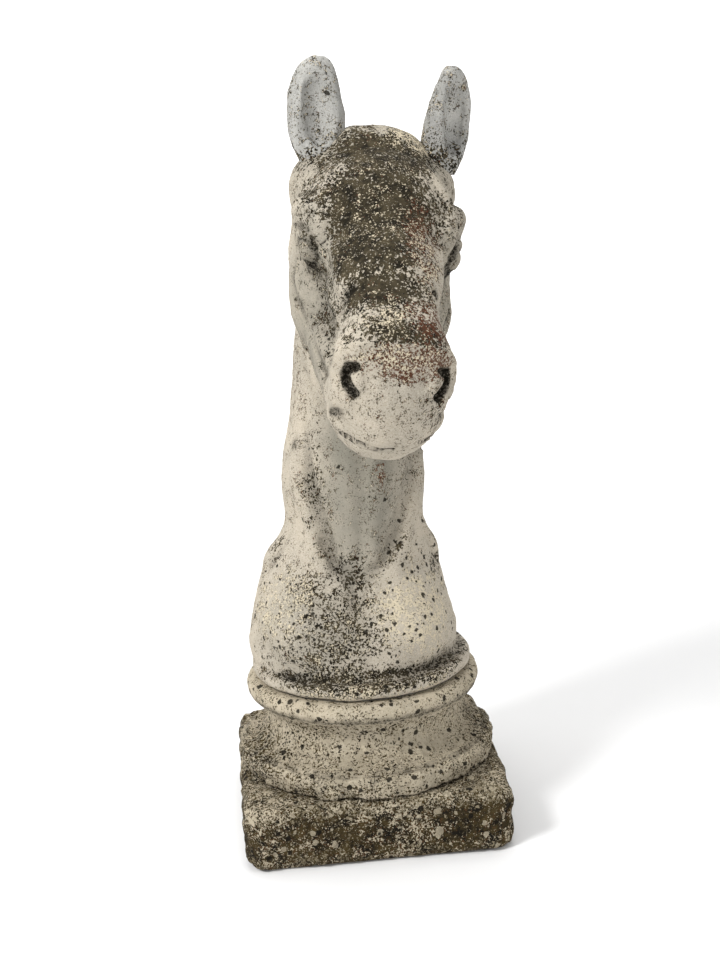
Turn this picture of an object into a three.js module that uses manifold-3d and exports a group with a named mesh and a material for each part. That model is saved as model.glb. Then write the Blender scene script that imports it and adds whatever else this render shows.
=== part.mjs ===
// A cast stone horse's head bust on a turned socle and a square plinth, in millimetres, +Z up.
// The horse faces -Y and the origin is the middle of the plinth's underside.
// The block, the socle and the bust are separate castings bedded in mortar on one steel dowel.
import * as THREE from "three";
import { LoftGeometry } from "three/addons/geometries/LoftGeometry.js";
import { mergeVertices } from "three/addons/utils/BufferGeometryUtils.js";
import Module from "manifold-3d";

const wasm = await Module();
wasm.setup();

// Driving dimensions
const PLINTH_SIDE = 300;
const PLINTH_HEIGHT = 74;
const PLINTH_CORNER = 24;
const PLINTH_EDGE = 7;
const BED_THICK = 4;
const JOINT_THICK = 2.2;
const GAP = 0.3;
const SOCLE_BASE = PLINTH_HEIGHT + BED_THICK;
const SOCLE_TOP = 177;
const FOOT_BASE = SOCLE_TOP + JOINT_THICK;
const FOOT_BEAD_RADIUS = 118;
const FOOT_BEAD_THICK = 8;
const CHEST_BASE = FOOT_BASE + FOOT_BEAD_THICK;
const ROLL = { radius: 138, height: 89, size: 10 };
const SCOTIA = { radius: 137, height: 129, size: 28 };
const FAT_BEAD = { radius: 121, height: 164, size: 13 };
const DOWEL_RADIUS = 8;
const GROUT_RADIUS = 14;
const DOWEL_BOTTOM = 30;
const DOWEL_TOP = 320;
const GROUT_FLOOR = 6;
const BAR_RADIUS = 5;
const BAR_SIDE = 34;
const BAR_BACK = 30;
const BAR_TOP = 560;
const HEAD_BAR_ROUTE = [
  [0, 52, FOOT_BASE + GAP],
  [2, 54, 330],
  [8, 50, 480],
  [20, 30, 600],
  [30, -30, 640],
  [34, -90, 605],
  [36, -150, 560],
];
const PIN_RADIUS = 2.5;
const PIN_IN_SKULL = 34;
const PIN_IN_EAR = 40;
const EAR_BED_THICK = 3;
const MORTAR_RADIUS = 138;
const THIN_JOINT_RADIUS = 119;
const TURN_SEGMENTS = 48;
const BAR_SEGMENTS = 20;
const BEAD_STEPS = 8;

// The neck bends to the horse's left and turns a little on its way up.
const LEAN = THREE.MathUtils.degToRad(7.7);
const TURN = THREE.MathUtils.degToRad(3);
const BEND_START = 260;
const BEND_END = 580;
const TURN_AXIS_Y = 20;

// The chest was cast a little to the horse's right of the neck.
const CHEST_SHIFT = 8;
const SHIFT_START = 270;
const SHIFT_END = 350;

// Rounded masses of the straight, symmetrical horse. A mass is a ball of radius r0 at p0
// drawn out to a ball of radius r1 at p1, "wide" times as wide across X.
// One that stands off the middle is repeated on the other side.
const NECK_MASSES = [
  { p0: [0, 2, 200], r0: 108, p1: [0, 4, 262], r1: 90 },
  { p0: [54, -6, 222], r0: 66, p1: [52, 4, 296], r1: 50 },
  { p0: [46, -50, 240], r0: 54, p1: [30, -34, 310], r1: 38 },
  { p0: [0, 12, 290], r0: 88, p1: [0, 20, 400], r1: 86, wide: 0.9 },
  { p0: [0, 20, 400], r0: 86, p1: [0, 30, 540], r1: 74, wide: 0.9 },
  { p0: [0, 30, 540], r0: 74, p1: [0, 14, 690], r1: 58, wide: 0.9 },
  { p0: [0, 80, 290], r0: 34, p1: [0, 90, 450], r1: 32, wide: 0.9 },
  { p0: [0, 90, 450], r0: 32, p1: [0, 84, 600], r1: 28, wide: 0.9 },
  { p0: [0, 84, 600], r0: 28, p1: [0, 34, 732], r1: 27, wide: 0.9 },
];
const HEAD_MASSES = [
  { p0: [0, -6, 719], r0: 60, p1: [0, -66, 697], r1: 58, wide: 1.3 },
  { p0: [20, -14, 753], r0: 30, p1: [24, 6, 747], r1: 28 },
  { p0: [56, -10, 719], r0: 33, p1: [48, 0, 692], r1: 36 },
  { p0: [0, -60, 687], r0: 62, p1: [0, -140, 627], r1: 52, wide: 1.02 },
  { p0: [55, -62, 686], r0: 34, p1: [54, -82, 669], r1: 31 },
  { p0: [36, -20, 650], r0: 52, p1: [36, -62, 600], r1: 47 },
  { p0: [0, -140, 627], r0: 50, p1: [0, -200, 572], r1: 45, wide: 1.05 },
  { p0: [0, -40, 601], r0: 60, p1: [0, -190, 517], r1: 42, wide: 1.33 },
  { p0: [0, -200, 568], r0: 44, p1: [0, -206, 540], r1: 46, wide: 1.12 },
  { p0: [32, -222, 566], r0: 23, p1: [34, -218, 540], r1: 21 },
  { p0: [0, -206, 532], r0: 42, p1: [0, -200, 514], r1: 38, wide: 1.12 },
  { p0: [0, -214, 512], r0: 33, p1: [0, -204, 506], r1: 33, wide: 1.2 },
  { p0: [0, -200, 494], r0: 24, p1: [0, -170, 498], r1: 24, wide: 1.35 },
];
const BLEND = 18;
const REACH = 280;
const RING_POINTS = 28;

const UP = new THREE.Vector3(0, 0, 1);

// Makes a three.js geometry a manifold-3d solid.
function solid(geometry) {
  const bare = new THREE.BufferGeometry().copy(geometry);
  bare.deleteAttribute("normal");
  bare.deleteAttribute("uv");
  const merged = mergeVertices(bare, 1e-3);
  const triVerts = new Uint32Array(merged.index.array);
  const vertProperties = merged.attributes.position.array;
  return new wasm.Manifold(new wasm.Mesh({ numProp: 3, vertProperties, triVerts }));
}

// Makes a manifold-3d solid a three.js geometry.
function geometryOf(made) {
  const { vertProperties, triVerts } = made.getMesh();
  const geometry = new THREE.BufferGeometry();
  geometry.setAttribute("position", new THREE.BufferAttribute(vertProperties, 3));
  geometry.setIndex(new THREE.BufferAttribute(triVerts, 1));
  geometry.computeVertexNormals();
  return geometry;
}

const cut = (whole, ...tools) => tools.reduce((left, tool) => left.subtract(tool), whole);

// A solid turned about Z from a profile of [radius, height] points.
function turned(points, segments = TURN_SEGMENTS) {
  const profile = points.map(([radius, height]) => new THREE.Vector2(radius, height));
  return new THREE.LatheGeometry(profile, segments).rotateX(Math.PI / 2);
}

// An upright round bar from one height to another.
function uprightBar(radius, bottom, top, x = 0, y = 0) {
  return new THREE.CylinderGeometry(radius, radius, top - bottom, BAR_SEGMENTS)
    .rotateX(Math.PI / 2)
    .translate(x, y, (top + bottom) / 2);
}

// A round bar that follows a curve through points.
function curvedBar(radius, points) {
  const path = new THREE.CatmullRomCurve3(points.map((p) => new THREE.Vector3(...p)));
  const section = new THREE.Shape().absarc(0, 0, radius, 0, 2 * Math.PI);
  const options = { extrudePath: path, steps: 24, curveSegments: 6, bevelEnabled: false };
  return new THREE.ExtrudeGeometry(section, options);
}

// Distance from a point to one rounded mass, negative inside it.
function massDistance(mass, x, y, z) {
  const { p0, r0, p1, r1, wide = 1 } = mass;
  const from = new THREE.Vector3(p0[0] / wide, p0[1], p0[2]);
  const along = new THREE.Vector3(p1[0] / wide, p1[1], p1[2]).sub(from);
  const side = p0[0] === 0 ? x : Math.abs(x);
  const to = new THREE.Vector3(side / wide, y, z).sub(from);
  const share = THREE.MathUtils.clamp(to.dot(along) / along.lengthSq(), 0, 1);
  return to.addScaledVector(along, -share).length() - THREE.MathUtils.lerp(r0, r1, share);
}

// Distance to all the masses, melted into each other where they meet.
function formDistance(masses, x, y, z) {
  let nearest = Infinity;
  for (const mass of masses) {
    const distance = massDistance(mass, x, y, z);
    const share = Math.max(BLEND - Math.abs(nearest - distance), 0) / BLEND;
    nearest = Math.min(nearest, distance) - (share * share * BLEND) / 4;
  }
  return nearest;
}

// The outermost point of the form on a ray from an inner point.
function surfacePoint(masses, origin, direction) {
  let outside = REACH;
  while (formDistance(masses, ...origin.clone().addScaledVector(direction, outside)) > 0) {
    outside -= 2;
  }
  let inside = outside;
  outside += 2;
  for (let halving = 0; halving < 14; halving++) {
    const middle = (inside + outside) / 2;
    const point = origin.clone().addScaledVector(direction, middle);
    if (formDistance(masses, ...point) > 0) outside = middle;
    else inside = middle;
  }
  return origin.clone().addScaledVector(direction, inside);
}

// A ring of surface points round an axis. "tip" turns its rays from square across the axis
// towards the axis's end.
function ring(masses, centre, axis, tip) {
  const side = new THREE.Vector3(1, 0, 0);
  const up = new THREE.Vector3().crossVectors(axis, side);
  return Array.from({ length: RING_POINTS }, (_, index) => {
    const angle = (2 * Math.PI * index) / RING_POINTS;
    const ray = side.clone().multiplyScalar(Math.cos(angle));
    ray.addScaledVector(up, Math.sin(angle)).multiplyScalar(Math.cos(tip));
    return surfacePoint(masses, centre, ray.addScaledVector(axis, Math.sin(tip)));
  });
}

// Bends and turns a point of the straight horse into its place.
function settle(point) {
  const length = BEND_END - BEND_START;
  point.x -= CHEST_SHIFT * (1 - THREE.MathUtils.smoothstep(point.z, SHIFT_START, SHIFT_END));
  const share = THREE.MathUtils.clamp((point.z - BEND_START) / length, 0, 1);
  const bent = bendMatrix(LEAN * share, TURN * share * share * (3 - 2 * share), share * length);
  return point.applyMatrix4(bent);
}

// The placing of whatever stands square on the neck's axis a given height above the bend's start.
function bendMatrix(lean, turn, rise) {
  const radius = (BEND_END - BEND_START) / LEAN;
  const drift = radius * (1 - Math.cos(lean));
  const height = BEND_START + radius * Math.sin(lean);
  return new THREE.Matrix4()
    .makeTranslation(drift, TURN_AXIS_Y, height)
    .multiply(new THREE.Matrix4().makeRotationY(lean))
    .multiply(new THREE.Matrix4().makeRotationZ(turn))
    .multiply(new THREE.Matrix4().makeTranslation(0, -TURN_AXIS_Y, -BEND_START - rise));
}

const HEAD_PLACE = bendMatrix(LEAN, TURN, BEND_END - BEND_START);

// The rings' centres: a core up the neck, and a line from the skull to the muzzle.
const NECK_CORE_Y = 10;
const NECK_TOP = new THREE.Vector3(0, 14, 700);
const SKULL = new THREE.Vector3(0, -10, 690);
const MUZZLE = new THREE.Vector3(0, -204, 538);
const NECK_HEIGHTS = [
  CHEST_BASE - 3, 200, 216, 234, 252, 268, 284, 300, 318, 340, 368, 400,
  434, 470, 506, 542, 576, 608, 638, 666, 690,
];
const NECK_TIPS = [0.35, 0.75, 1.15];
const HEAD_TIPS = [1.25, 0.95, 0.65, 0.35];
const HEAD_STEPS = 14;

function neckForm() {
  const rings = NECK_HEIGHTS.map((height) => {
    return ring(NECK_MASSES, new THREE.Vector3(0, NECK_CORE_Y, height), UP, 0);
  });
  for (const tip of NECK_TIPS) rings.push(ring(NECK_MASSES, NECK_TOP, UP, tip));
  return new LoftGeometry(rings, { closed: true, capStart: true, capEnd: true });
}

function headForm() {
  const axis = MUZZLE.clone().sub(SKULL).normalize();
  const rings = HEAD_TIPS.map((tip) => ring(HEAD_MASSES, SKULL, axis, -tip));
  for (let step = 0; step <= HEAD_STEPS; step++) {
    rings.push(ring(HEAD_MASSES, SKULL.clone().lerp(MUZZLE, step / HEAD_STEPS), axis, 0));
  }
  const ends = HEAD_TIPS.slice().reverse();
  for (const tip of ends) rings.push(ring(HEAD_MASSES, MUZZLE, axis, tip));
  return new LoftGeometry(rings, { closed: true, capStart: true, capEnd: true });
}

function settled(geometry) {
  const position = geometry.getAttribute("position");
  const point = new THREE.Vector3();
  for (let index = 0; index < position.count; index++) {
    settle(point.fromBufferAttribute(position, index));
    position.setXYZ(index, point.x, point.y, point.z);
  }
  return geometry;
}

// The round foot under the chest, with its thin bead.
function footForm() {
  const points = [[0, FOOT_BASE]];
  const middle = FOOT_BASE + FOOT_BEAD_THICK;
  for (let step = 0; step <= BEAD_STEPS; step++) {
    const angle = -Math.PI / 2 + (Math.PI * step) / BEAD_STEPS;
    const radius = FOOT_BEAD_RADIUS + FOOT_BEAD_THICK * Math.cos(angle);
    points.push([radius, middle + FOOT_BEAD_THICK * Math.sin(angle)]);
  }
  points.push([0, middle + FOOT_BEAD_THICK]);
  return turned(points);
}

// One ear in its own frame: it stands on its cut base and its hollow looks along -Y.
const EAR_SECTIONS = [
  { z: 0, x: 0, wide: 21, deep: 17 },
  { z: 18, x: 4, wide: 27, deep: 20 },
  { z: 38, x: 7, wide: 31, deep: 20 },
  { z: 58, x: 9, wide: 31, deep: 18 },
  { z: 76, x: 11, wide: 28.5, deep: 15 },
  { z: 90, x: 12, wide: 24, deep: 12 },
  { z: 99, x: 12, wide: 19, deep: 10 },
  { z: 106, x: 11, wide: 13.5, deep: 8 },
  { z: 110, x: 10, wide: 9, deep: 6.5 },
  { z: 113, x: 9, wide: 4, deep: 4 },
];
const EAR_HOLLOW = { x: 8, y: -21, z: 60, wide: 21, deep: 17, tall: 44 };

// Where each ear stands, and how far its hollow is turned outward.
const EAR_STANDS = {
  right: { x: -59, y: -12, z: 739, outward: THREE.MathUtils.degToRad(6) },
  left: { x: 65, y: -12, z: 739, outward: THREE.MathUtils.degToRad(36) },
};
const EAR_POINTS = 20;

const sideOf = (name) => (name === "left" ? 1 : -1);

function earForm(name, grow = 0, bottom = 0) {
  const sections = EAR_SECTIONS.map(({ z, x, wide, deep }, index) => {
    const outline = new THREE.EllipseCurve(sideOf(name) * x, 0, wide + grow, deep + grow);
    const height = index === 0 ? bottom : z;
    const corners = outline.getPoints(EAR_POINTS).slice(0, EAR_POINTS);
    return corners.map((corner) => new THREE.Vector3(corner.x, corner.y, height));
  });
  return new LoftGeometry(sections, { closed: true, capStart: true, capEnd: true });
}

// The hollow that is cut out of an ear's front.
function earHollow(name) {
  const { x, y, z, wide, deep, tall } = EAR_HOLLOW;
  const ball = new THREE.SphereGeometry(1, 20, 14).scale(wide, deep, tall);
  return ball.translate(sideOf(name) * x, y, z);
}

// Where an ear's own frame stands on the settled head.
function earPlace(name) {
  const { x, y, z, outward } = EAR_STANDS[name];
  const turn = new THREE.Matrix4().makeRotationZ(sideOf(name) * outward);
  const stand = new THREE.Matrix4().makeTranslation(x, y, z).multiply(turn);
  return HEAD_PLACE.clone().multiply(stand);
}

function makeBust() {
  const forms = [settled(neckForm()), settled(headForm()), footForm()].map(solid);
  const whole = forms[0].add(forms[1]).add(forms[2]);
  const tools = [
    uprightBar(GROUT_RADIUS + GAP, FOOT_BASE - 1, DOWEL_TOP + GROUT_FLOOR + GAP),
    uprightBar(BAR_RADIUS + GAP, FOOT_BASE - 1, BAR_TOP + GAP, -BAR_SIDE, BAR_BACK),
    uprightBar(BAR_RADIUS + GAP, FOOT_BASE - 1, BAR_TOP + GAP, BAR_SIDE, BAR_BACK),
    curvedBar(BAR_RADIUS + GAP, headBarRoute(1)),
  ];
  for (const name of ["right", "left"]) {
    const pocket = earForm(name, GAP, -EAR_BED_THICK - 2 * GAP);
    const pin = uprightBar(PIN_RADIUS + GAP, -PIN_IN_SKULL - GAP, 0);
    tools.push(pocket.applyMatrix4(earPlace(name)), pin.applyMatrix4(earPlace(name)));
  }
  return geometryOf(cut(whole, ...tools.map(solid)));
}

// The bar that rises at the back of the neck and bends forward into the muzzle.
// "over" carries both of its ends on by that much.
function headBarRoute(over = 0) {
  const [foot, tip] = [HEAD_BAR_ROUTE[0], HEAD_BAR_ROUTE.at(-1)];
  return [
    [foot[0], foot[1], foot[2] - 2 * over],
    ...HEAD_BAR_ROUTE.slice(1, -1),
    [tip[0], tip[1] - over / 2, tip[2] - over / 2],
  ];
}

function makeEar(name) {
  const pinHole = uprightBar(PIN_RADIUS + GAP, -1, PIN_IN_EAR + GAP);
  return geometryOf(cut(solid(earForm(name)), solid(earHollow(name)), solid(pinHole)));
}

function makeEarBed() {
  const { wide, deep } = EAR_SECTIONS[0];
  const outline = new THREE.Shape().absellipse(0, 0, wide - 1, deep - 1, 0, 2 * Math.PI);
  outline.holes.push(new THREE.Path().absarc(0, 0, PIN_RADIUS + GAP, 0, 2 * Math.PI));
  const options = { depth: EAR_BED_THICK, curveSegments: 10, bevelEnabled: false };
  return new THREE.ExtrudeGeometry(outline, options).translate(0, 0, -EAR_BED_THICK - GAP);
}

// A square block with round corners and eased edges, bored for the dowel's grout.
function makePlinth() {
  const half = PLINTH_SIDE / 2 - PLINTH_EDGE;
  const corner = PLINTH_CORNER - PLINTH_EDGE;
  const outline = new THREE.Shape();
  for (const [x, y, start] of [[1, 1, 0], [-1, 1, 1], [-1, -1, 2], [1, -1, 3]]) {
    const turn = (start * Math.PI) / 2;
    outline.absarc(x * (half - corner), y * (half - corner), corner, turn, turn + Math.PI / 2);
  }
  outline.closePath();
  const block = new THREE.ExtrudeGeometry(outline, {
    depth: PLINTH_HEIGHT - 2 * PLINTH_EDGE,
    bevelThickness: PLINTH_EDGE,
    bevelSize: PLINTH_EDGE,
    bevelSegments: 4,
    curveSegments: 7,
  }).translate(0, 0, PLINTH_EDGE);
  const bore = uprightBar(GROUT_RADIUS + GAP, DOWEL_BOTTOM - GROUT_FLOOR, PLINTH_HEIGHT + 1);
  return geometryOf(cut(solid(block), solid(bore)));
}

// The turned socle: a heavy roll, a hollow neck and a fat bead under the bust.
function makeSocle() {
  const inner = GROUT_RADIUS + GAP;
  const points = [[inner, SOCLE_BASE + GAP], [ROLL.radius, SOCLE_BASE + GAP]];
  addArc(points, ROLL, -60, 80, 7);
  points.push([SCOTIA.radius - 1, SCOTIA.height - SCOTIA.size]);
  addArc(points, SCOTIA, 262, 150, 8);
  addArc(points, FAT_BEAD, -100, 90, 10);
  points.push([inner, SOCLE_TOP], points[0].slice());
  return turned(points);
}

// Adds an arc, in degrees, to a profile.
function addArc(points, { radius, height, size }, from, to, steps) {
  for (let step = 0; step <= steps; step++) {
    const angle = THREE.MathUtils.degToRad(from + ((to - from) * step) / steps);
    points.push([radius + size * Math.cos(angle), height + size * Math.sin(angle)]);
  }
}

// A flat mortar ring round the dowel's grout.
function mortarRing(radius, bottom, top) {
  const inner = GROUT_RADIUS + GAP;
  return turned([[inner, bottom], [radius, bottom], [radius, top], [inner, top], [inner, bottom]]);
}

// The grout tube round the dowel. A tube with a floor stands under the dowel's end.
function groutTube(bottom, top, floor = 0) {
  const inner = DOWEL_RADIUS + GAP;
  if (floor > 0) {
    return turned([[0, bottom], [GROUT_RADIUS, bottom], [GROUT_RADIUS, top], [inner, top],
      [inner, bottom + floor], [0, bottom + floor]], BAR_SEGMENTS);
  }
  return turned([[inner, bottom], [GROUT_RADIUS, bottom], [GROUT_RADIUS, top], [inner, top],
    [inner, bottom]], BAR_SEGMENTS);
}

// The grout in the bust closes over the dowel's top end.
function groutCap(bottom, top) {
  const inner = DOWEL_RADIUS + GAP;
  const ceiling = top - GROUT_FLOOR;
  return turned([[0, ceiling], [inner, ceiling], [inner, bottom], [GROUT_RADIUS, bottom],
    [GROUT_RADIUS, top], [0, top]], BAR_SEGMENTS);
}

const FINISHES = {
  stone: { color: 0xa9a08c, roughness: 0.95, metalness: 0 },
  darkStone: { color: 0x7d745f, roughness: 0.97, metalness: 0 },
  earStone: { color: 0x9a9c98, roughness: 0.92, metalness: 0 },
  mortar: { color: 0x5d584d, roughness: 0.98, metalness: 0 },
  steel: { color: 0x6b625a, roughness: 0.6, metalness: 0.8 },
};

const giant = new THREE.Group();

function add(name, geometry, finish, matrix) {
  const mesh = new THREE.Mesh(geometry, new THREE.MeshStandardMaterial(FINISHES[finish]));
  mesh.name = name;
  if (matrix) mesh.applyMatrix4(matrix);
  giant.add(mesh);
}

add("plinth_block", makePlinth(), "darkStone");
add("lower_mortar_bed", mortarRing(MORTAR_RADIUS, PLINTH_HEIGHT + GAP, SOCLE_BASE), "mortar");
add("socle", makeSocle(), "stone");
add("upper_mortar_bed", mortarRing(THIN_JOINT_RADIUS, SOCLE_TOP + GAP, FOOT_BASE - GAP), "mortar");
add("bust", makeBust(), "stone");
for (const name of ["right", "left"]) {
  const place = earPlace(name);
  const pin = uprightBar(PIN_RADIUS, -PIN_IN_SKULL, PIN_IN_EAR);
  const across = sideOf(name) * BAR_SIDE;
  add("ear_" + name, makeEar(name), "earStone", place);
  add("ear_mortar_" + name, makeEarBed(), "mortar", place);
  add("ear_pin_" + name, pin, "steel", place);
  add("neck_bar_" + name, uprightBar(BAR_RADIUS, FOOT_BASE + GAP, BAR_TOP, across, BAR_BACK), "steel");
}
add("head_bar", curvedBar(BAR_RADIUS, headBarRoute()), "steel");
add("centre_dowel", uprightBar(DOWEL_RADIUS, DOWEL_BOTTOM + GAP, DOWEL_TOP - GAP), "steel");
const groutFoot = groutTube(DOWEL_BOTTOM - GROUT_FLOOR + GAP, PLINTH_HEIGHT, GROUT_FLOOR - GAP);
add("dowel_grout_plinth", groutFoot, "mortar");
add("dowel_grout_socle", groutTube(PLINTH_HEIGHT + GAP, FOOT_BASE - GAP), "mortar");
add("dowel_grout_bust", groutCap(FOOT_BASE, DOWEL_TOP + GROUT_FLOOR), "mortar");

export default giant;
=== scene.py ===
# %% [markdown]
# A giant chess knight for a garden: a horse's head in cast stone on a turned socle and a square block.
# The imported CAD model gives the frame, and everything here is made in its place, in metres. The
# carving itself is worked out in millimetres, as a mason would measure it.

import math

import bmesh
import bpy
import numpy as np
from mathutils import Matrix, Vector


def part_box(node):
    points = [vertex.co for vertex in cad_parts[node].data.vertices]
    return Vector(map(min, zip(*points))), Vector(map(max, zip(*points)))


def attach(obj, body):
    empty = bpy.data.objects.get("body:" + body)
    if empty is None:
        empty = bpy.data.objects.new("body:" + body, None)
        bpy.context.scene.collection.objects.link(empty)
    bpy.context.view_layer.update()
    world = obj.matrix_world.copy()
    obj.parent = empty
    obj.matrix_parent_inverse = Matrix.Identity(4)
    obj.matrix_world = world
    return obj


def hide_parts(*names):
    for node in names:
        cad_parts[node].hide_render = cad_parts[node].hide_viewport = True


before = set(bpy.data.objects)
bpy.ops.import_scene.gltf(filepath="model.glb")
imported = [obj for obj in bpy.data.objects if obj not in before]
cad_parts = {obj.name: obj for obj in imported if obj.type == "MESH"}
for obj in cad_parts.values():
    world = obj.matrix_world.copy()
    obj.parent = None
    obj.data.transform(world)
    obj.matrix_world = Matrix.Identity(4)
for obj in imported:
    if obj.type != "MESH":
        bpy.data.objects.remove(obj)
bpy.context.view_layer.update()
MM = 0.001

# %% [markdown]
# The horse's neck leans to its left and turns a little on the way up, as if the casting had settled.
# The horse is carved straight and symmetrical, which is easier to measure, and each point is carried
# back from its settled place to the straight horse. The bend is an arc, so both ways are exact.

# %% The settled neck
BEND_START, BEND_END = 260.0, 580.0
LEAN = math.radians(7.7)
TURN = math.radians(3)
TURN_AXIS_Y = 20.0
CHEST_SHIFT, SHIFT_START, SHIFT_END = 8.0, 270.0, 350.0
BEND_RADIUS = (BEND_END - BEND_START) / LEAN


def smooth(share):
    share = np.clip(share, 0, 1)
    return share * share * (3 - 2 * share)


def straighten(points):
    """Carries points of the settled horse to the straight one."""
    x, y, z = points.T
    angle = np.arctan2(z - BEND_START, BEND_RADIUS - x)
    reach = np.hypot(BEND_RADIUS - x, z - BEND_START)
    low, high = z < BEND_START, (angle > LEAN) & (z >= BEND_START)
    cos, sin = math.cos(LEAN), math.sin(LEAN)
    out_x, out_z = x - BEND_RADIUS * (1 - cos), z - BEND_START - BEND_RADIUS * sin
    flat_x = np.where(low, x, BEND_RADIUS - reach)
    flat_z = np.where(low, z, BEND_START + BEND_RADIUS * angle)
    flat_x = np.where(high, cos * out_x - sin * out_z, flat_x)
    flat_z = np.where(high, BEND_END + sin * out_x + cos * out_z, flat_z)
    flat_x = flat_x + CHEST_SHIFT * smooth((SHIFT_END - flat_z) / (SHIFT_END - SHIFT_START))
    turn = TURN * smooth((flat_z - BEND_START) / (BEND_END - BEND_START))
    back = y - TURN_AXIS_Y
    straight_x = np.cos(turn) * flat_x + np.sin(turn) * back
    straight_y = np.cos(turn) * back - np.sin(turn) * flat_x + TURN_AXIS_Y
    return np.stack([straight_x, straight_y, flat_z], 1)


print("the neck leans", round(math.degrees(LEAN), 1), "degrees")

# %% [markdown]
# A sculptor starts with lumps of clay. Each lump here is a ball drawn out into another ball, and the
# lumps melt into each other. What is kept is not a mesh but a measure: how far any point is from the
# clay, less than nothing inside it. Lumps off the middle count on both sides of the horse.

# %% The clay
# first ball's centre and radius, second ball's centre and radius, width across the horse
NECK_CLAY = [
    ((0, 2, 200), 108, (0, 4, 262), 90, 1.0),
    ((54, -6, 222), 66, (52, 4, 296), 50, 1.0),
    ((46, -50, 240), 54, (30, -34, 310), 38, 1.0),
    ((0, 12, 290), 88, (0, 20, 400), 86, 0.9),
    ((0, 20, 400), 86, (0, 30, 540), 74, 0.9),
    ((0, 30, 540), 74, (0, 14, 690), 58, 0.9),
    ((0, 80, 290), 34, (0, 90, 450), 32, 0.9),
    ((0, 90, 450), 32, (0, 84, 600), 28, 0.9),
    ((0, 84, 600), 28, (0, 34, 732), 27, 0.9),
]
HEAD_CLAY = [
    ((0, -6, 719), 60, (0, -66, 697), 58, 1.3),
    ((20, -14, 753), 30, (24, 6, 747), 28, 1.0),
    ((56, -10, 719), 33, (48, 0, 692), 36, 1.0),
    ((0, -60, 687), 62, (0, -140, 627), 52, 1.02),
    ((55, -62, 686), 34, (54, -82, 669), 31, 1.0),
    ((36, -20, 650), 52, (36, -62, 600), 47, 1.0),
    ((0, -140, 627), 50, (0, -200, 572), 45, 1.05),
    ((0, -40, 601), 60, (0, -190, 517), 42, 1.33),
    ((0, -200, 568), 44, (0, -206, 540), 46, 1.12),
    ((32, -222, 566), 23, (34, -218, 540), 21, 1.0),
    ((0, -206, 532), 42, (0, -200, 514), 38, 1.12),
    ((0, -214, 512), 33, (0, -204, 506), 33, 1.2),
    ((0, -200, 494), 24, (0, -170, 498), 24, 1.35),
]
MELT = 18.0


def melt(first, second, reach):
    """Joins two measures, rounding the corner between them."""
    share = np.maximum(reach - np.abs(first - second), 0) / reach
    return np.minimum(first, second) - share * share * reach / 4


def hollow_out(body, tool, reach):
    return -melt(-body, tool, reach)


def lump_distance(points, lump):
    first, r0, second, r1, wide = lump
    x = np.abs(points[:, 0]) if first[0] else points[:, 0]
    start, end = np.array(first, float), np.array(second, float)
    start[0], end[0] = start[0] / wide, end[0] / wide
    to = np.stack([x / wide, points[:, 1], points[:, 2]], 1) - start
    along = end - start
    share = np.clip(to @ along / (along @ along), 0, 1)
    return np.linalg.norm(to - share[:, None] * along, axis=1) - (r0 + (r1 - r0) * share)


def clay_distance(points, clay, reach=MELT):
    nearest = lump_distance(points, clay[0])
    for lump in clay[1:]:
        nearest = melt(nearest, lump_distance(points, lump), reach)
    return nearest


print(len(NECK_CLAY) + len(HEAD_CLAY), "lumps of clay")

# %% [markdown]
# The tool marks come next: lids, veins, folds, lips and the furrows of the neck. Each is a stroke
# along a few points with a width and a height, raised where the height is more than nothing and cut
# where it is less. Strokes of the second list lie near the middle and are not repeated.

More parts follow.
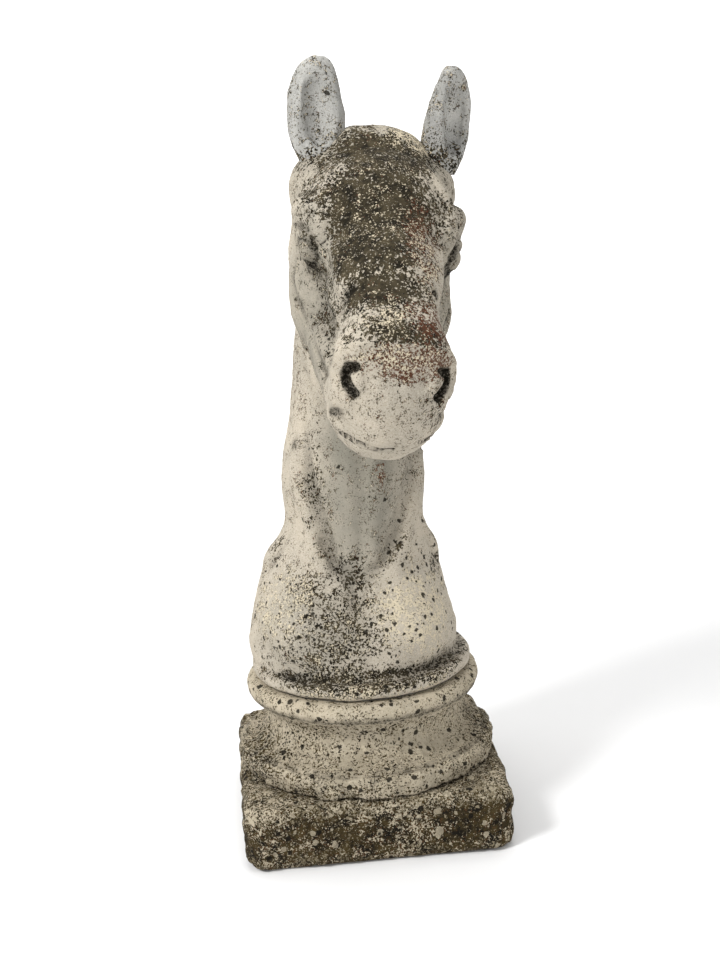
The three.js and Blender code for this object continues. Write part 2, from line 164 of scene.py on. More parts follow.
# %% The strokes of the tool
# width, height, then the points along the stroke
PAIRED_STROKES = [
    # brow, lids and the fold over the upper lid
    (10, 5, (68, -114, 688), (81, -92, 698), (85, -66, 698), (77, -44, 692)),
    (3.6, 5, (71, -112, 646), (76, -110, 658), (80, -100, 670), (83, -84, 672), (83, -68, 662)),
    (3.4, 3, (71, -112, 646), (77, -103, 643), (81, -88, 644), (83, -74, 652), (83, -68, 662)),
    (2.8, -4.5, (86, -60, 675), (86, -82, 679), (81, -95, 679), (77, -103, 674),
     (73, -107, 667), (70, -109, 660)),
    (3, -4, (85, -54, 668), (84, -48, 654), (84, -51, 636), (85, -54, 624), (84, -66, 612), (80, -84, 600)),
    (9, -5, (74, -76, 724), (82, -54, 720)),
    # ridge down the forehead and the furrow outside it
    (5, 6, (44, -83, 742), (57, -89, 729), (64, -92, 716), (70, -96, 702),
     (71, -104, 688), (66, -114, 672)),
    (5, -4, (58, -80, 734), (72, -80, 718), (84, -60, 710)),
    (5, -3.5, (76, -104, 702), (74, -114, 690), (71, -122, 674), (66, -132, 656)),
    # cheekbone and the hollow above it
    (8, 6, (82, -92, 640), (76, -112, 626), (66, -148, 604), (58, -176, 590)),
    (7, -4, (70, -120, 650), (62, -144, 630), (54, -170, 612)),
    # rear edge of the jaw, and its lower edge
    (6, -7, (70, 18, 700), (74, 26, 665), (70, 26, 625), (62, 16, 585), (50, -6, 556)),
    (9, 4, (68, 6, 690), (72, 12, 655), (66, 10, 618), (56, 0, 585), (48, -22, 560)),
    (5, 4, (70, -40, 566), (66, -84, 544), (60, -124, 524), (54, -170, 500)),
    (4, -5, (80, -84, 600), (74, -100, 582), (66, -130, 560), (58, -168, 540)),
    # folds of the throat
    (3, -3, (70, 6, 552), (64, -6, 528), (54, -26, 505), (36, -44, 480)),
    (3, -2.5, (66, 18, 540), (60, 6, 512), (50, -14, 492)),
    # edges of the nose bone and the crease beside the nose
    (9, 3.5, (56, -130, 664), (46, -164, 640), (38, -190, 624), (32, -212, 608), (26, -230, 594)),
    (4.5, -5, (40, -188, 629), (48, -181, 617), (53, -173, 601), (56, -166, 583), (57, -162, 564)),
    (4, -3.5, (56, -186, 574), (58, -192, 562), (58, -190, 548)),
    (14, 4.5, (26, -206, 616), (28, -222, 602), (27, -236, 591)),
    (5, -1.2, (42, -236, 582), (24, -246, 579), (8, -250, 578)),
    # wing and lobe of the nostril
    (5, 4, (38, -242, 581), (48, -238, 578), (57, -228, 568), (60, -224, 552), (54, -232, 538)),
    (5, 2, (54, -232, 538), (44, -242, 528)),
    (4.5, 2.5, (38, -248, 556), (36, -249, 544)),
    # mouth, lips and the corner of the mouth
    (3.2, -4.5, (60, -184, 514), (52, -202, 502), (46, -212, 496), (38, -221, 491), (26, -227, 486)),
    (3.2, -4.5, (26, -227, 486), (12, -231, 483), (0, -232, 482)),
    (6, 3, (54, -206, 508), (47, -215, 500), (38, -226, 500), (24, -233, 495), (8, -237, 492)),
    (3, -2.4, (56, -208, 512), (50, -226, 516), (45, -235, 513)),
    (4, -4, (62, -172, 528), (60, -178, 508), (50, -180, 492)),
    # furrow of the neck with the muscle beside it, and the fold over the shoulder
    (6.5, -9, (63, -28, 462), (59, -38, 430), (54, -48, 401), (46, -56, 374), (38, -64, 345)),
    (6.5, -7, (38, -64, 345), (27, -74, 322), (12, -82, 306)),
    (10, 5, (78, -20, 444), (72, -32, 402), (62, -46, 370), (52, -60, 338), (40, -74, 314)),
    (5, -5, (74, -18, 366), (80, -18, 340), (88, -22, 320), (98, -18, 302)),
    (11, 4, (16, -62, 450), (16, -70, 380), (12, -82, 330)),
]
MIDDLE_STROKES = [
    (10, -7, (-2, -82, 304), (2, -92, 275), (6, -106, 235), (8, -112, 205)),
    (11, -8, (0, -40, 548), (0, -90, 516), (0, -140, 494)),
    (12, 3, (0, -214, 618), (0, -232, 602), (0, -244, 590)),
    (12, 4, (0, -34, 778), (0, -8, 780)),
]
# the hollow of the eye as centre and half sizes, the ball in it as centre and radius
SOCKET = (np.array([84.0, -90, 657]), np.array([8.5, 18, 10.5]))
EYEBALL = (np.array([71.5, -91, 658]), 13.5)
NOSTRIL = ((41, -243, 561), (47, -239, 560), (49, -236, 553), (46, -239, 544), (40, -243, 537))
NOSTRIL_WIDTH, NOSTRIL_DEPTH = 4.3, 10.0
STROKE_STRENGTH = 1.35


def path_distance(points, path):
    nearest = np.full(len(points), np.inf)
    corners = np.array(path, float)
    for start, end in zip(corners[:-1], corners[1:]):
        along = end - start
        to = points - start
        share = np.clip(to @ along / (along @ along), 0, 1)
        nearest = np.minimum(nearest, np.linalg.norm(to - share[:, None] * along, axis=1))
    return nearest


def stroke_height(points, strokes):
    """How far the strokes raise the surface at each point, less than nothing where they cut it."""
    height = np.zeros(len(points))
    for width, rise, *path in strokes:
        corners = np.array(path, float)
        low, high = corners.min(0) - 3 * width, corners.max(0) + 3 * width
        near = np.where(((points > low) & (points < high)).all(1))[0]
        if len(near):
            height[near] += rise * np.exp(-((path_distance(points[near], path) / width) ** 2))
    return height


def mirrored(points):
    """Carries every point to the horse's left, where the paired strokes are written down."""
    return np.abs(points * [1, 0, 0]) + points * [0, 1, 1]


print(len(PAIRED_STROKES) * 2 + len(MIDDLE_STROKES), "strokes")

# %% [markdown]
# A cast surface that has stood outside for years is never true: it swells and sinks by a millimetre
# or two, and its edges crumble. A sum of a few waves in mixed directions gives that, always the same.

# %% Unevenness
PIT_LEVEL = 1.4


def waves(points, length, seed, count=14):
    """A smooth uneven field between about -1 and 1 whose lumps are about one length across."""
    chance = np.random.default_rng(seed)
    directions = chance.normal(size=(count, 3))
    directions /= np.linalg.norm(directions, axis=1, keepdims=True)
    numbers = directions * (2 * math.pi / length) * chance.uniform(0.6, 1.5, (count, 1))
    return np.sin(points @ numbers.T + chance.uniform(0, 2 * math.pi, count)).sum(1) / math.sqrt(count)


def crumble(points, length, seed):
    """Pits where the waves are deep, and nothing elsewhere."""
    return np.maximum(waves(points, length, seed) - PIT_LEVEL, 0)


trial = np.random.default_rng(1).uniform(0, 300, (999, 3))
print("waves range", np.round(np.ptp(waves(trial, 20, 2)), 2))

# %% [markdown]
# The whole bust is one measure: the clay, cut level at the foot, with the strokes, the eyes, the
# mane's ridge and the thin round bead that the chest stands on. The first wrap uses a smooth one.

# %% The bust's measure
BUST_CLAY = NECK_CLAY + HEAD_CLAY
FOOT_BASE = 179.2
CUT_LEVEL = FOOT_BASE + 3
FOOT_BEAD = (118.0, 8.0)
MANE_TOP, MANE_FOOT, MANE_FRONT = 770.0, 230.0, 62.0
RIDGE_HEIGHT, RIDGE_WIDTH = 7.0, 15.0
LOCK_HEIGHT, LOCK_WIDTH, LOCK_SPACING, LOCK_WANDER = 2.2, 34.0, 7.5, 31.0
SOCKET_MELT, EYE_MELT, BEAD_MELT = 5, 1.5, 2.5


def mane_height(points):
    """Locks of a short mane along the crest of the neck."""
    x, y, z = points.T
    ends = smooth((z - MANE_FOOT) / 60) * smooth((MANE_TOP - z) / 40)
    crest = ends * smooth((y - MANE_FRONT) / 30)
    ridge = np.exp(-((x / RIDGE_WIDTH) ** 2))
    locks = np.sin(z / LOCK_SPACING + 0.9 * np.sin(z / LOCK_WANDER) + np.abs(x) / 9)
    return crest * (RIDGE_HEIGHT * ridge + LOCK_HEIGHT * locks * np.exp(-((x / LOCK_WIDTH) ** 2)))


def foot_distance(points):
    radius, thick = FOOT_BEAD
    middle = FOOT_BASE + thick
    reach = np.hypot(points[:, 0], points[:, 1])
    height = np.abs(points[:, 2] - middle)
    bead = np.hypot(reach - radius, points[:, 2] - middle) - thick
    return np.minimum(bead, np.maximum(reach - radius, height - thick))


def eye_distance(straight):
    return np.linalg.norm(mirrored(straight) - EYEBALL[0], axis=1) - EYEBALL[1]


def bust_smooth(points):
    body = clay_distance(straighten(points), BUST_CLAY)
    body = np.maximum(body, CUT_LEVEL - points[:, 2])
    return melt(body, foot_distance(points), 3)


def bust_carved(points):
    straight = straighten(points)
    both = mirrored(straight)
    body = clay_distance(straight, BUST_CLAY)
    strokes = stroke_height(both, PAIRED_STROKES) + stroke_height(straight, MIDDLE_STROKES)
    body = body - STROKE_STRENGTH * strokes
    body = body - mane_height(straight)
    centre, size = SOCKET
    socket = (np.linalg.norm((both - centre) / size, axis=1) - 1) * size[0]
    body = hollow_out(body, socket, SOCKET_MELT)
    body = melt(body, eye_distance(straight), EYE_MELT)
    body = np.maximum(body, CUT_LEVEL - points[:, 2])
    whole = melt(body, foot_distance(points), BEAD_MELT)
    swell, ripple, pits = waves(points, 46, 3), waves(points, 13, 4), crumble(points, 15, 5)
    return whole - 0.6 * swell - 0.22 * ripple + pits


inside = bust_carved(np.array([[0.0, 20.0, 400.0]]))[0]
print("the middle of the neck lies", round(-inside), "mm inside the stone")

# %% [markdown]
# To turn a measure into a mesh, a rough mesh is wrapped in an even skin of small squares (a voxel
# remesh), and each corner then slides along the measure's slope until it reads nothing. Doing this
# in stages, finer each time, follows deep cuts that one step would fold over.

# %% Wrap and slide
SLOPE_STEP = 0.4
LEAST_SLOPE = 0.2


def read_vectors(items, what):
    flat = np.empty(len(items) * 3)
    items.foreach_get(what, flat)
    return flat.reshape(-1, 3)


def corners_of(mesh):
    return read_vectors(mesh.vertices, "co") / MM


def move_corners(mesh, points):
    mesh.vertices.foreach_set("co", (points * MM).ravel())
    mesh.update()


def slide_onto(points, measure, steps=4, most=6.0):
    """Moves the points onto the measure's surface, none further than the most in one step."""
    for _ in range(steps):
        value = measure(points)
        beside = [measure(points + SLOPE_STEP * axis) - value for axis in np.eye(3)]
        slope = np.stack(beside, 1) / SLOPE_STEP
        length = np.maximum((slope * slope).sum(1), LEAST_SLOPE)
        points = points - slope * np.clip(value / length, -most, most)[:, None]
    return points


def rewrap(obj, voxel):
    """Wraps the object in an even skin with squares of about this many millimetres."""
    modifier = obj.modifiers.new("even_skin", "REMESH")
    modifier.mode = "VOXEL"
    modifier.voxel_size = voxel * MM
    modifier.use_smooth_shade = True
    evaluated = obj.evaluated_get(bpy.context.evaluated_depsgraph_get())
    mesh = bpy.data.meshes.new_from_object(evaluated)
    old = obj.data
    obj.modifiers.clear()
    obj.data = mesh
    bpy.data.meshes.remove(old)


def carve(obj, stages):
    """Wraps the object and slides it onto each stage's measure: a list of (voxel, measure)."""
    for voxel, measure in stages:
        rewrap(obj, voxel)
        move_corners(obj.data, slide_onto(corners_of(obj.data), measure))
    finish(obj)
    return obj


def finish(obj):
    obj.data.polygons.foreach_set("use_smooth", [True] * len(obj.data.polygons))
    obj.data.calc_loop_triangles()
    print(obj.name, "has", len(obj.data.loop_triangles), "triangles")


print("stones are wrapped and slid with a slope taken over", SLOPE_STEP, "mm")

# %% [markdown]
# Each finished piece stands at the origin, rides on the CAD's one body and takes the place of the
# solids it is named for. Where a carving is finer than its squares, they can be halved.

# %% Pieces
def refine(obj, chosen):
    """Halves the squares of the mesh where chosen says so, a test on all the corners at once."""
    bm = bmesh.new()
    bm.from_mesh(obj.data)
    inside = chosen(corners_of(obj.data))
    edges = [edge for edge in bm.edges if all(inside[vert.index] for vert in edge.verts)]
    bmesh.ops.subdivide_edges(bm, edges=edges, cuts=1, use_grid_fill=True)
    bm.to_mesh(obj.data)
    bm.free()


def new_object(name, data):
    obj = bpy.data.objects.new(name, data)
    bpy.context.collection.objects.link(obj)
    return obj


def mesh_from(name, bm):
    mesh = bpy.data.meshes.new(name)
    bmesh.ops.recalc_face_normals(bm, faces=bm.faces)
    bm.to_mesh(mesh)
    bm.free()
    return mesh


def piece(name, bm, slot, *nodes):
    """Makes a named object of a bmesh, riding on the CAD's one body in place of those nodes."""
    obj = new_object(name, mesh_from(name, bm))
    bpy.context.view_layer.update()
    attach(obj, "root")
    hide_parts(*nodes)
    return obj


print("solids in the frame:", len(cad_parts))

# %% [markdown]
# The rough bust is a heap of hulls, one round each pair of balls, set out on the settled neck. The
# balls are not bent with the neck, only moved, so the heap is near the horse and no more than that.

# %% Rough clay
def settle(point):
    """The settled place of a point of the straight horse, found by a few corrections."""
    guess = np.array([point], float)
    for _ in range(12):
        guess = guess + (np.array([point], float) - straighten(guess))
    return guess[0]


def keep_hull(bm):
    """Closes a hull round the mesh and drops the corners inside it."""
    hull = bmesh.ops.convex_hull(bm, input=bm.verts)
    inner = {part for part in hull["geom_interior"] if isinstance(part, bmesh.types.BMVert)}
    bmesh.ops.delete(bm, geom=list(inner), context="VERTS")


def add_lump(bm, lump, flip):
    first, r0, second, r1, wide = lump
    fresh = bmesh.new()
    for centre, radius in ((first, r0), (second, r1)):
        place = Matrix.Translation(settle((flip * centre[0], *centre[1:])) * MM)
        size = Matrix.Diagonal((wide * radius * MM, radius * MM, radius * MM, 1))
        bmesh.ops.create_icosphere(fresh, subdivisions=2, radius=1, matrix=place @ size)
    keep_hull(fresh)
    shell = bpy.data.meshes.new("lump")
    fresh.to_mesh(shell)
    fresh.free()
    bm.from_mesh(shell)
    bpy.data.meshes.remove(shell)


def add_disc(bm, radius, low, high):
    """A round disc a little larger than the ring that will be carved from it."""
    place = Matrix.Translation((0, 0, (low + high) / 2 * MM))
    size = {"segments": 96, "radius1": radius * MM, "radius2": radius * MM, "depth": (high - low) * MM}
    bmesh.ops.create_cone(bm, cap_ends=True, matrix=place, **size)


print("the crown of the settled head is at", np.round(settle((0, -6, 719))), "mm")

# %% [markdown]
# The bust is wrapped twice. Then the squares of the face are halved, so that lids and lips come out
# crisp. Last the nostrils are pressed in, for in the measure such narrow cuts would fold the skin.

# %% The bust
FACE_BACK, FACE_FOOT = -35.0, 468.0
ROUGH_FOOT_RADIUS, ROUGH_FOOT_HEIGHT = 128, 18
NOSTRIL_PUSH = (0.5, 0.85)


def press_nostrils(points):
    """Pushes the skin inward and back into the nose along each nostril."""
    away = path_distance(mirrored(straighten(points)), NOSTRIL)
    across, back = NOSTRIL_PUSH
    inward = np.stack([-across * np.sign(points[:, 0]), np.full(len(points), back), 0 * away], 1)
    return points + (NOSTRIL_DEPTH * np.exp(-((away / NOSTRIL_WIDTH) ** 4)))[:, None] * inward


def on_face(points):
    x, y, z = straighten(points).T
    return (y < FACE_BACK) & (z > FACE_FOOT)


def make_bust():
    bm = bmesh.new()
    for lump in BUST_CLAY:
        for flip in (1, -1) if lump[0][0] else (1,):
            add_lump(bm, lump, flip)
    for vert in bm.verts:
        vert.co.z = max(vert.co.z, FOOT_BASE * MM)
    add_disc(bm, ROUGH_FOOT_RADIUS, FOOT_BASE, FOOT_BASE + ROUGH_FOOT_HEIGHT)
    bust = piece("horse_bust", bm, "bust_stone", "bust")
    carve(bust, [(6, bust_smooth), (3.9, bust_carved)])
    refine(bust, on_face)
    slid = slide_onto(corners_of(bust.data), bust_carved, steps=5, most=2.0)
    move_corners(bust.data, press_nostrils(slid))
    finish(bust)
    return bust


bust = make_bust()

# %% [markdown]
# The ears are castings of their own. Each is a leaf: an oval that widens, then runs to a soft point,
# with a bowl pressed into its front. They use the same wrap and slide as the bust, only finer.

# %% Ears
# height, centre across, half width, half depth
EAR_OVALS = np.array([
    (-6, -1, 19, 15), (0, 0, 21, 17), (18, 4, 27, 20), (38, 7, 31, 20), (58, 9, 31, 18),
    (76, 11, 28.5, 15), (90, 12, 24.5, 12), (99, 12, 20.5, 10.5), (106, 11, 16, 9),
    (110, 10, 12, 7.5), (113, 9, 6, 5), (116, 9, 2, 2),
])
EAR_TIP = 113
EAR_BOWL = (np.array([8.0, -21, 60]), np.array([21.0, 17, 44]))
EAR_FOLD = ((26, -16, 84), (23, -14, 60), (17, -14, 34), (8, -16, 16))
FOLD_WIDTH, FOLD_HEIGHT = 5, 2.5
# the two ears were not bedded quite alike: where each stands, and how far it is turned outward
EAR_STANDS = {
    -1: (np.array([-59.0, -12, 739]), math.radians(6)),
    1: (np.array([68.0, -12, 741]), math.radians(36)),
}


def ear_measure(side):
    """The measure of one ear; the side is 1 for the horse's left and -1 for its right."""
    base, turn = EAR_STANDS[side]
    cos, sin = math.cos(turn), math.sin(turn)

    def measure(points):
        x, y, z = ((straighten(points) - base) * [side, 1, 1]).T
        x, y = cos * x + sin * y, cos * y - sin * x
        local = np.stack([x, y, z], 1)
        centre, wide, deep = (np.interp(z, EAR_OVALS[:, 0], EAR_OVALS[:, k]) for k in (1, 2, 3))
        leaf = (np.hypot((x - centre) / wide, y / deep) - 1) * np.minimum(wide, deep)
        leaf = np.maximum(leaf, np.maximum(-z, z - EAR_TIP))
        middle, size = EAR_BOWL
        bowl = (np.linalg.norm((local - middle) / size, axis=1) - 1) * size[1]
        leaf = hollow_out(leaf, bowl, 5)
        fold = path_distance(local, EAR_FOLD)
        leaf = leaf - FOLD_HEIGHT * np.exp(-((fold / FOLD_WIDTH) ** 2))
        return leaf - 0.35 * waves(points, 26, 11) - 0.08 * waves(points, 8, 12)

    return measure


def make_ear(side, name):
    """Starts from the hull of the ovals' rings, set out on the settled head."""
    base, turn = EAR_STANDS[side]
    bm = bmesh.new()
    for z, centre, wide, deep in EAR_OVALS:
        for angle in np.linspace(0, 2 * math.pi, 16, endpoint=False):
            x, y = centre + wide * math.cos(angle), deep * math.sin(angle)
            x, y = math.cos(turn) * x - math.sin(turn) * y, math.cos(turn) * y + math.sin(turn) * x
            bm.verts.new(settle(base + [side * x, y, max(z, 0)]) * MM)
    keep_hull(bm)
    ear = piece(name, bm, "ear_stone", "ear_" + name.split("_")[0])
    measure = ear_measure(side)
    return carve(ear, [(2.5, measure), (1.6, measure), (1.3, measure)])


ears = [make_ear(-1, "right_horse_ear"), make_ear(1, "left_horse_ear")]
print("ears stand", [round(float(corners_of(ear.data)[:, 2].max())) for ear in ears], "mm high")

# %% [markdown]
# The socle was turned in the clay with a template, so its measure only needs the distance from the
# axis and the height. The block is a box with round corners, and both have weathered edges.

# %% Socle and block
block_low, block_high = (np.array(corner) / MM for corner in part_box("plinth_block"))
socle_low, socle_high = (np.array(corner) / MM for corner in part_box("socle"))
BLOCK_CORNER, BLOCK_EDGE = 27.0, 12.0
SKIRT_RADIUS, SKIRT_BASE, SKIRT_TOP, BED_RADIUS = 147.0, 74.6, 90, 139.5
# radius and height of a round moulding's middle, and how thick it is
FOOT_ROLL, NECK_HOLLOW, TOP_BEAD = (138, 89, 10), (139, 129, 27), (121, 164, 13)
FOOT_TOP, NECK_RADIUS, NECK_TOP = 101, 137, 152


def moulding(reach, z, ring):
    radius, height, thick = ring
    return np.hypot(reach - radius, z - height) - thick


def socle_measure(points):
    reach = np.hypot(points[:, 0], points[:, 1])
    z = points[:, 2]
    foot = np.maximum(reach - FOOT_ROLL[0], z - FOOT_TOP)
    neck = np.maximum(reach - NECK_RADIUS, z - NECK_TOP)
    drum = np.maximum(reach - TOP_BEAD[0], np.abs(z - TOP_BEAD[1]) - TOP_BEAD[2])
    hollowed = np.maximum(neck, -moulding(reach, z, NECK_HOLLOW))
    body = melt(hollowed, np.minimum(moulding(reach, z, FOOT_ROLL), foot), 3)
    body = melt(body, np.minimum(moulding(reach, z, TOP_BEAD), drum), 2)
    body = melt(body, np.maximum(reach - SKIRT_RADIUS, z - SKIRT_TOP), 4)
    over_bed = np.minimum(socle_low[2] - z, BED_RADIUS - reach)
    body = np.maximum(body, np.maximum(np.maximum(over_bed, SKIRT_BASE - z), z - socle_high[2]))
    rough = 0.9 * waves(points, 34, 21) + 0.6 * waves(points, 11, 22) - 1.6 * crumble(points, 15, 23)
    return body - rough * smooth((150 - z) / 40) - 0.35 * waves(points, 12, 24)


def block_measure(points):
    half = (block_high[:2] - block_low[:2]) / 2
    over = np.abs(points[:, :2]) - (half - BLOCK_CORNER)
    plan = np.linalg.norm(np.maximum(over, 0), axis=1) + np.minimum(over.max(1), 0) - BLOCK_CORNER
    middle = (block_low[2] + block_high[2]) / 2
    height = np.abs(points[:, 2] - middle) - (block_high[2] - block_low[2]) / 2
    both = np.stack([plan, height], 1) + BLOCK_EDGE
    body = np.linalg.norm(np.maximum(both, 0), axis=1) + np.minimum(both.max(1), 0) - BLOCK_EDGE
    rough = 1.1 * waves(points, 40, 31) + 0.8 * waves(points, 12, 32) - 2.4 * crumble(points, 19, 33)
    return body - (rough - 1.2) * smooth(points[:, 2] / 6)


def make_socle():
    bm = bmesh.new()
    low, high = socle_low[2], socle_high[2]
    add_disc(bm, 151, SKIRT_BASE, low + 24)
    add_disc(bm, 127, low + 20, high - 20)
    add_disc(bm, 137, high - 28, high)
    socle = piece("turned_socle", bm, "bust_stone", "socle")
    return carve(socle, [(5, socle_measure), (3, socle_measure), (2.2, socle_measure)])


def make_block():
    bm = bmesh.new()
    centre = Vector((block_low + block_high) / 2) * MM
    size = Vector(block_high - block_low) * MM * 0.97
    shape = Matrix.Translation(centre) @ Matrix.Diagonal((*size, 1))
    bmesh.ops.create_cube(bm, size=1, matrix=shape)
    block = piece("square_block", bm, "plinth_stone", "plinth_block")
    return carve(block, [(5, block_measure), (3, block_measure), (2.4, block_measure)])


socle = make_socle()
block = make_block()

# %% [markdown]
# Weathered cast stone is one material in many moods. Three shader groups give its effects: a grainy
# cover that thickens with a number from 0 to 1, scattered blobs with pale rims, and the sandy height.
# Each is built once and placed in every stone with its own values. What belongs to a place, such as
# painted shade in a furrow or lichen on the crown, is painted on the mesh as an attribute from the carving.

# %% Node helpers
def new_material(name):
    material = bpy.data.materials.new(name)
    material.use_nodes = True
    return material, material.node_tree, material.node_tree.nodes["Principled BSDF"]


def node(tree, kind, inputs=None, **settings):
    """Adds a node with its settings; inputs maps a socket to a value or to another node's socket."""
    made = tree.nodes.new(kind)
    for name, value in settings.items():
        setattr(made, name, value)
    for socket, value in (inputs or {}).items():
        if isinstance(value, bpy.types.NodeSocket):
            tree.links.new(value, made.inputs[socket])
        else:
            made.inputs[socket].default_value = value
    return made


def math_node(tree, operation, first, second, clamp=False):
    inputs = {0: first, 1: second}
    return node(tree, "ShaderNodeMath", inputs, operation=operation, use_clamp=clamp).outputs[0]


def add(tree, first, second, clamp=False):
    return math_node(tree, "ADD", first, second, clamp)


def times(tree, first, second, clamp=False):
    return math_node(tree, "MULTIPLY", first, second, clamp)


def mix_colour(tree, share, under, over):
    inputs = {0: share, 6: under, 7: over}
    return node(tree, "ShaderNodeMix", inputs, data_type="RGBA").outputs[2]


def noise(tree, vector, scale, detail=4.0, rough=0.6):
    inputs = {"Vector": vector, "Scale": scale, "Detail": detail, "Roughness": rough}
    return node(tree, "ShaderNodeTexNoise", inputs).outputs["Fac"]


def ramp(tree, value, low, high):
    inputs = {"Value": value, "From Min": low, "From Max": high}
    return node(tree, "ShaderNodeMapRange", inputs, clamp=True).outputs["Result"]


def ramp_to(tree, value, low, high):
    inputs = {"Value": value, "To Min": low, "To Max": high}
    return node(tree, "ShaderNodeMapRange", inputs).outputs["Result"]


def new_group(name, inputs, outputs):
    group = bpy.data.node_groups.new(name, "ShaderNodeTree")
    for label, kind, start in inputs:
        socket = group.interface.new_socket(label, in_out="INPUT", socket_type="NodeSocket" + kind)
        if start is not None:
            socket.default_value = start
    for label, kind in outputs:
        group.interface.new_socket(label, in_out="OUTPUT", socket_type="NodeSocket" + kind)
    return group, group.nodes.new("NodeGroupInput").outputs, group.nodes.new("NodeGroupOutput").inputs


def use_group(tree, group, inputs):
    return node(tree, "ShaderNodeGroup", inputs, node_tree=group).outputs


print("node helpers ready in", bpy.app.version_string)


# %% [markdown]
# Lichen grows as grains that crowd together. Three noises, broad, middling and fine, are added to the
# wanted cover, and whatever comes out above one half is covered. More cover means more grains that
# run together, and a little cover leaves a few specks, as on the real stone.

# %% Grain, blobs and sand
# how many grains or waves go into a metre, and how much each noise of the grain counts
MIDDLING_GRAIN, BROAD_GRAIN = 105, 24
FINE_WEIGHT, MIDDLING_WEIGHT, BROAD_WEIGHT = 2.3, 1.7, 0.8
RAGGED, RAGGED_PUSH = 210, 0.005
LEAST_BLOB, BLOB_SPREAD = 0.12, 0.28
SAND_GRAIN, SAND_SWELL, SAND_PORES = 800, 110, 300


def weighted(tree, value, weight):
    return times(tree, math_node(tree, "SUBTRACT", value, 0.5), weight)


def make_grain():
    inputs = [("Vector", "Vector", None), ("Cover", "Float", 0.5), ("Fine", "Float", 700)]
    group, into, out = new_group("grainy_cover", inputs, [("Mask", "Float")])
    total = weighted(group, noise(group, into["Vector"], into["Fine"], 2, 0.7), FINE_WEIGHT)
    middling = noise(group, into["Vector"], MIDDLING_GRAIN, 4, 0.75)
    total = add(group, total, weighted(group, middling, MIDDLING_WEIGHT))
    broad = noise(group, into["Vector"], BROAD_GRAIN, 3, 0.6)
    total = add(group, total, weighted(group, broad, BROAD_WEIGHT))
    total = add(group, total, into["Cover"])
    group.links.new(ramp(group, total, 0.45, 0.55), out["Mask"])
    return group


def make_blobs():
    inputs = [("Vector", "Vector", None), ("Scale", "Float", 90), ("Cover", "Float", 0.3)]
    group, into, out = new_group("scattered_blobs", inputs, [("Mask", "Float"), ("Rim", "Float")])
    inputs = {"Vector": into["Vector"], "Scale": RAGGED, "Detail": 3}
    ragged = node(group, "ShaderNodeTexNoise", inputs).outputs["Color"]
    inputs = {0: ragged, "Scale": RAGGED_PUSH}
    push = node(group, "ShaderNodeVectorMath", inputs, operation="SCALE").outputs["Vector"]
    inputs = {0: into["Vector"], 1: push}
    moved = node(group, "ShaderNodeVectorMath", inputs, operation="ADD").outputs["Vector"]
    cells = node(group, "ShaderNodeTexVoronoi", {"Vector": moved, "Scale": into["Scale"]})
    chance = node(group, "ShaderNodeSeparateColor", {"Color": cells.outputs["Color"]}).outputs
    here = math_node(group, "LESS_THAN", chance["Red"], into["Cover"])
    size = times(group, chance["Green"], BLOB_SPREAD)
    size = add(group, size, LEAST_BLOB)
    inside = math_node(group, "SUBTRACT", size, cells.outputs["Distance"])
    disc = times(group, inside, 14, True)
    edge = times(group, math_node(group, "ABSOLUTE", inside, 0), 12)
    rim = math_node(group, "SUBTRACT", 1, edge, True)
    group.links.new(times(group, disc, here), out["Mask"])
    group.links.new(times(group, rim, here), out["Rim"])
    return group


def make_sand():
    inputs = [("Vector", "Vector", None), ("Coarse", "Float", 1.0)]
    group, into, out = new_group("sandy_cast", inputs, [("Height", "Float"), ("Tone", "Float")])
    grains = noise(group, into["Vector"], SAND_GRAIN, 3, 0.75)
    swell = noise(group, into["Vector"], SAND_SWELL, 4, 0.65)
    pores = ramp(group, noise(group, into["Vector"], SAND_PORES, 3, 0.7), 0.32, 0.42)
    low, high = times(group, grains, 0.5), times(group, swell, 0.8)
    height = add(group, low, high)
    height = add(group, height, times(group, pores, 0.4))
    group.links.new(times(group, height, into["Coarse"]), out["Height"])
    group.links.new(ramp(group, grains, 0.38, 0.62), out["Tone"])
    return group


GRAIN, BLOBS, SAND = make_grain(), make_blobs(), make_sand()
print("shader groups", [group.name for group in (GRAIN, BLOBS, SAND)])

# %% [markdown]
# Each stone is the same recipe with its own amounts. From the bottom up: two tones of the bare cast
# with sandy grains, a grey film that also carries painted shade, a dusting of dark pepper, lichen where
# the paint says so, pale crumbs and rusty grains over it, black blobs and pale rosettes, and last the
# painted shade in sheltered places, in the black tone.

# %% Stone recipe
# how many grains of each kind go into a metre
PEPPER, LICHEN, RUST, CRUMBS, ROSETTES, GRIT = 540, 350, 400, 480, 95, 330
BUMP_HEIGHT, SHINE = 0.0007, 0.12


def painted(tree, name):
    return node(tree, "ShaderNodeAttribute", attribute_name=name).outputs["Fac"]


